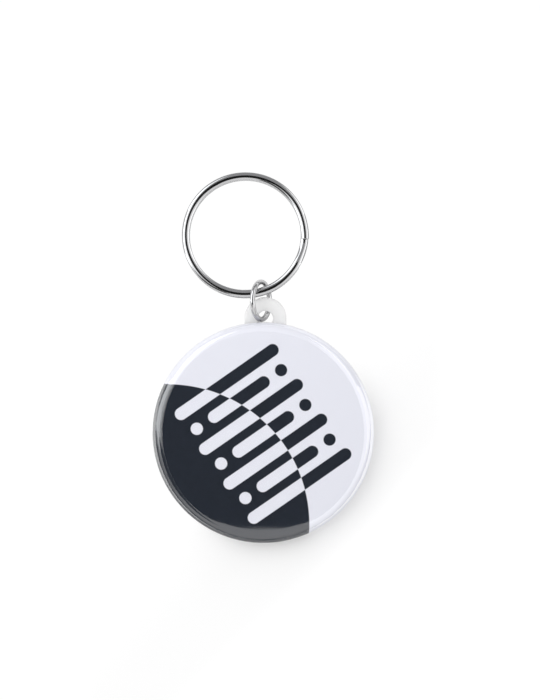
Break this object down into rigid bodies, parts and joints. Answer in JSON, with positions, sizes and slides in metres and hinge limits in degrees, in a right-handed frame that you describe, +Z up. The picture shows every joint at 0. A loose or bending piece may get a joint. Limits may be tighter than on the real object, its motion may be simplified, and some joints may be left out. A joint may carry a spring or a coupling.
{
  "type": "badge key ring",
  "caption": "Round button badge with a plastic lug back, hung from a split key ring by a small jump ring.",
  "frame": {"origin": "on the table, under the middle of the whole object's box", "axes": "+Y from the badge to the key ring, +Z up out of the badge's face, +X to the right seen from above"},
  "size_m": [0.044, 0.0738, 0.0077],
  "materials": {
    "film": "clear gloss",
    "print": "two-tone matt print",
    "tinplate": "bright tinplate",
    "back_plastic": "white, slightly translucent",
    "jump_ring_metal": "bright nickel plate",
    "split_ring_metal": "bright nickel plate"
  },
  "bodies": {
    "badge": {"clear_film": "film", "printed_disc": "print", "front_shell": "tinplate", "back_plate": "back_plastic"},
    "jump_ring": {"jump_ring": "jump_ring_metal"},
    "split_ring": {"split_ring": "split_ring_metal"}
  },
  "joints": [
    {"name": "jump_ring_swing", "type": "hinge", "parent": "badge", "child": "jump_ring", "pos_m": [-0.00042, 0.01127, 0.00386], "axis": [0.8949, 0, 0.4462], "range_deg": [-12, 40]},
    {"name": "split_ring_swing", "type": "hinge", "parent": "jump_ring", "child": "split_ring", "pos_m": [-0.00026, 0.01308, 0.00349], "axis": [0.9587, 0.2846, 0], "range_deg": [-105, 90]}
  ]
}
